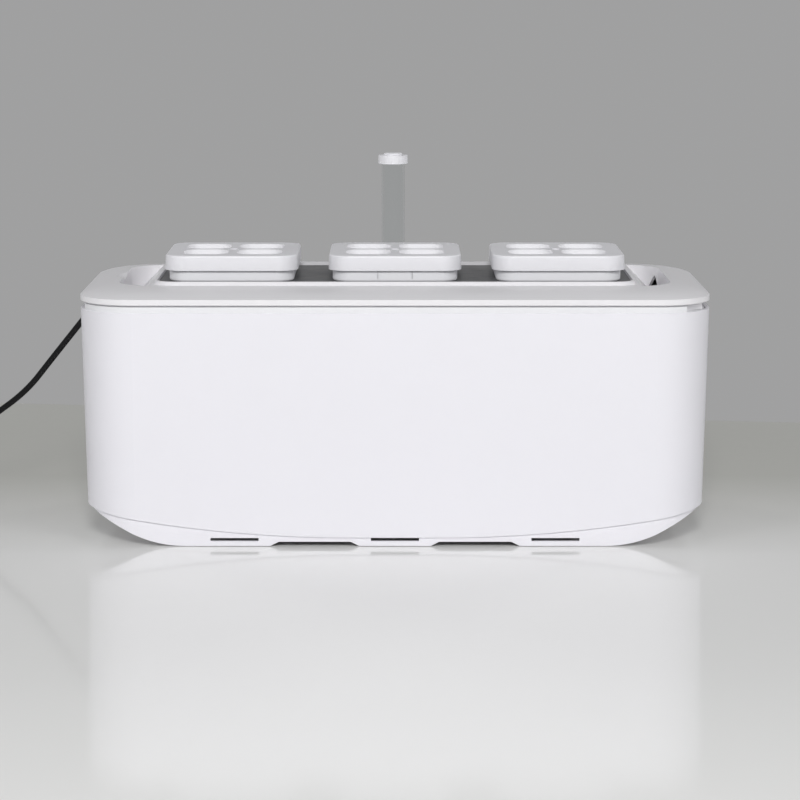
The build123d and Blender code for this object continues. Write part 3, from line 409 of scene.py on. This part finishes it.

# Glossy table, with its rear edge as in the photograph, paler in front than behind: painted light
# falloff from the front and painted reflection of the grey wall, set in its colour
TABLE_CORNERS = [(-4.0, -4.0, 0.0), (4.0, -4.0, 0.0), (4.0, -0.14, 0.0), (-4.0, 1.05, 0.0)]
TABLE_LOOK = ((0.8, 0.8, 0.78), 0.1, 500.0, 0.00001, 3.0, 0.01, 0.03)
TABLE_FRONT_PAINTED_LIGHT = (0.97, 0.97, 0.955)
TABLE_REAR_PAINTED_SHADE = (0.6, 0.6, 0.55)
FRONT_ENDS = -0.12
REAR_STARTS = 0.16
table = bpy.data.meshes.new("table")
table.from_pydata(TABLE_CORNERS, [], [(0, 1, 2, 3)])
table_top = bpy.data.objects.new("table", table)
scene.collection.objects.link(table_top)
table_finish = moulded("table_white", *TABLE_LOOK)
table_tree = table_finish.node_tree
position = table_tree.nodes.new("ShaderNodeTexCoord")
split = table_tree.nodes.new("ShaderNodeSeparateXYZ")
link(table_tree, position.outputs["Object"], split.inputs[0])
along = table_tree.nodes.new("ShaderNodeMapRange")
along.inputs["From Min"].default_value = FRONT_ENDS
along.inputs["From Max"].default_value = REAR_STARTS
link(table_tree, split.outputs["Y"], along.inputs["Value"])
# Painted light and shade: the table's colour runs from pale in front to grey behind
shade = ramp(table_tree, along.outputs["Result"], TABLE_FRONT_PAINTED_LIGHT, TABLE_REAR_PAINTED_SHADE, 0.0, 1.0)
link(table_tree, shade, table_tree.nodes["Principled BSDF"].inputs["Base Color"])
table.materials.append(table_finish)

# Soft light from the front, and weaker from the sides and behind: place, size and power in watts
LAMP_TARGET = (0.0, 0.0, 0.12)
KEY_LAMP = ((0.0, -2.5, 1.5), (0.45, 0.7), 35.0)
FILL_LAMP = ((1.9, -1.8, 1.1), (0.9, 0.8), 11.0)
REAR_LAMP = ((1.9, 1.9, 0.75), (0.8, 0.8), 14.0)


def soft_lamp(name, place, size, power, mirrored):
    """Area lamp aimed at the box, left out of reflections where it would only be a bright patch."""
    data = bpy.data.lights.new(name, "AREA")
    data.shape = "RECTANGLE"
    data.size, data.size_y = size
    data.energy = power
    lamp = bpy.data.objects.new(name, data)
    lamp.location = place
    way = Vector(LAMP_TARGET) - Vector(place)
    lamp.rotation_euler = way.to_track_quat("-Z", "Y").to_euler()
    lamp.visible_glossy = mirrored
    scene.collection.objects.link(lamp)


soft_lamp("key", *KEY_LAMP, True)
for side, sign in (("left", -1), ("right", 1)):
    for name, lamp in ((f"{side} fill", FILL_LAMP), (f"rear {side}", REAR_LAMP)):
        (x, y, z), size, power = lamp
        soft_lamp(name, (x * sign, y, z), size, power, False)

# Grey studio wall as seen, and a weaker light from all round
WALL_GREY = (0.352, 0.352, 0.354, 1.0)
AROUND_TINT = (0.97, 0.98, 1.0, 1.0)
AROUND_LEVEL = 0.22
world = bpy.data.worlds.new("studio")
scene.world = world
world.use_nodes = True
world_tree = world.node_tree
around = world_tree.nodes["Background"]
around.inputs["Color"].default_value = AROUND_TINT
around.inputs["Strength"].default_value = AROUND_LEVEL
wall = world_tree.nodes.new("ShaderNodeBackground")
wall.inputs["Color"].default_value = WALL_GREY
path = world_tree.nodes.new("ShaderNodeLightPath")
seen = path.outputs["Is Camera Ray"]
for ray in ("Is Glossy Ray", "Is Transmission Ray"):
    either = world_tree.nodes.new("ShaderNodeMath")
    either.operation = "MAXIMUM"
    link(world_tree, seen, either.inputs[0])
    link(world_tree, path.outputs[ray], either.inputs[1])
    seen = either.outputs[0]
choose = world_tree.nodes.new("ShaderNodeMixShader")
link(world_tree, seen, choose.inputs["Fac"])
link(world_tree, around.outputs[0], choose.inputs[1])
link(world_tree, wall.outputs[0], choose.inputs[2])
link(world_tree, choose.outputs[0], world_tree.nodes["World Output"].inputs["Surface"])

bpy.context.view_layer.update()
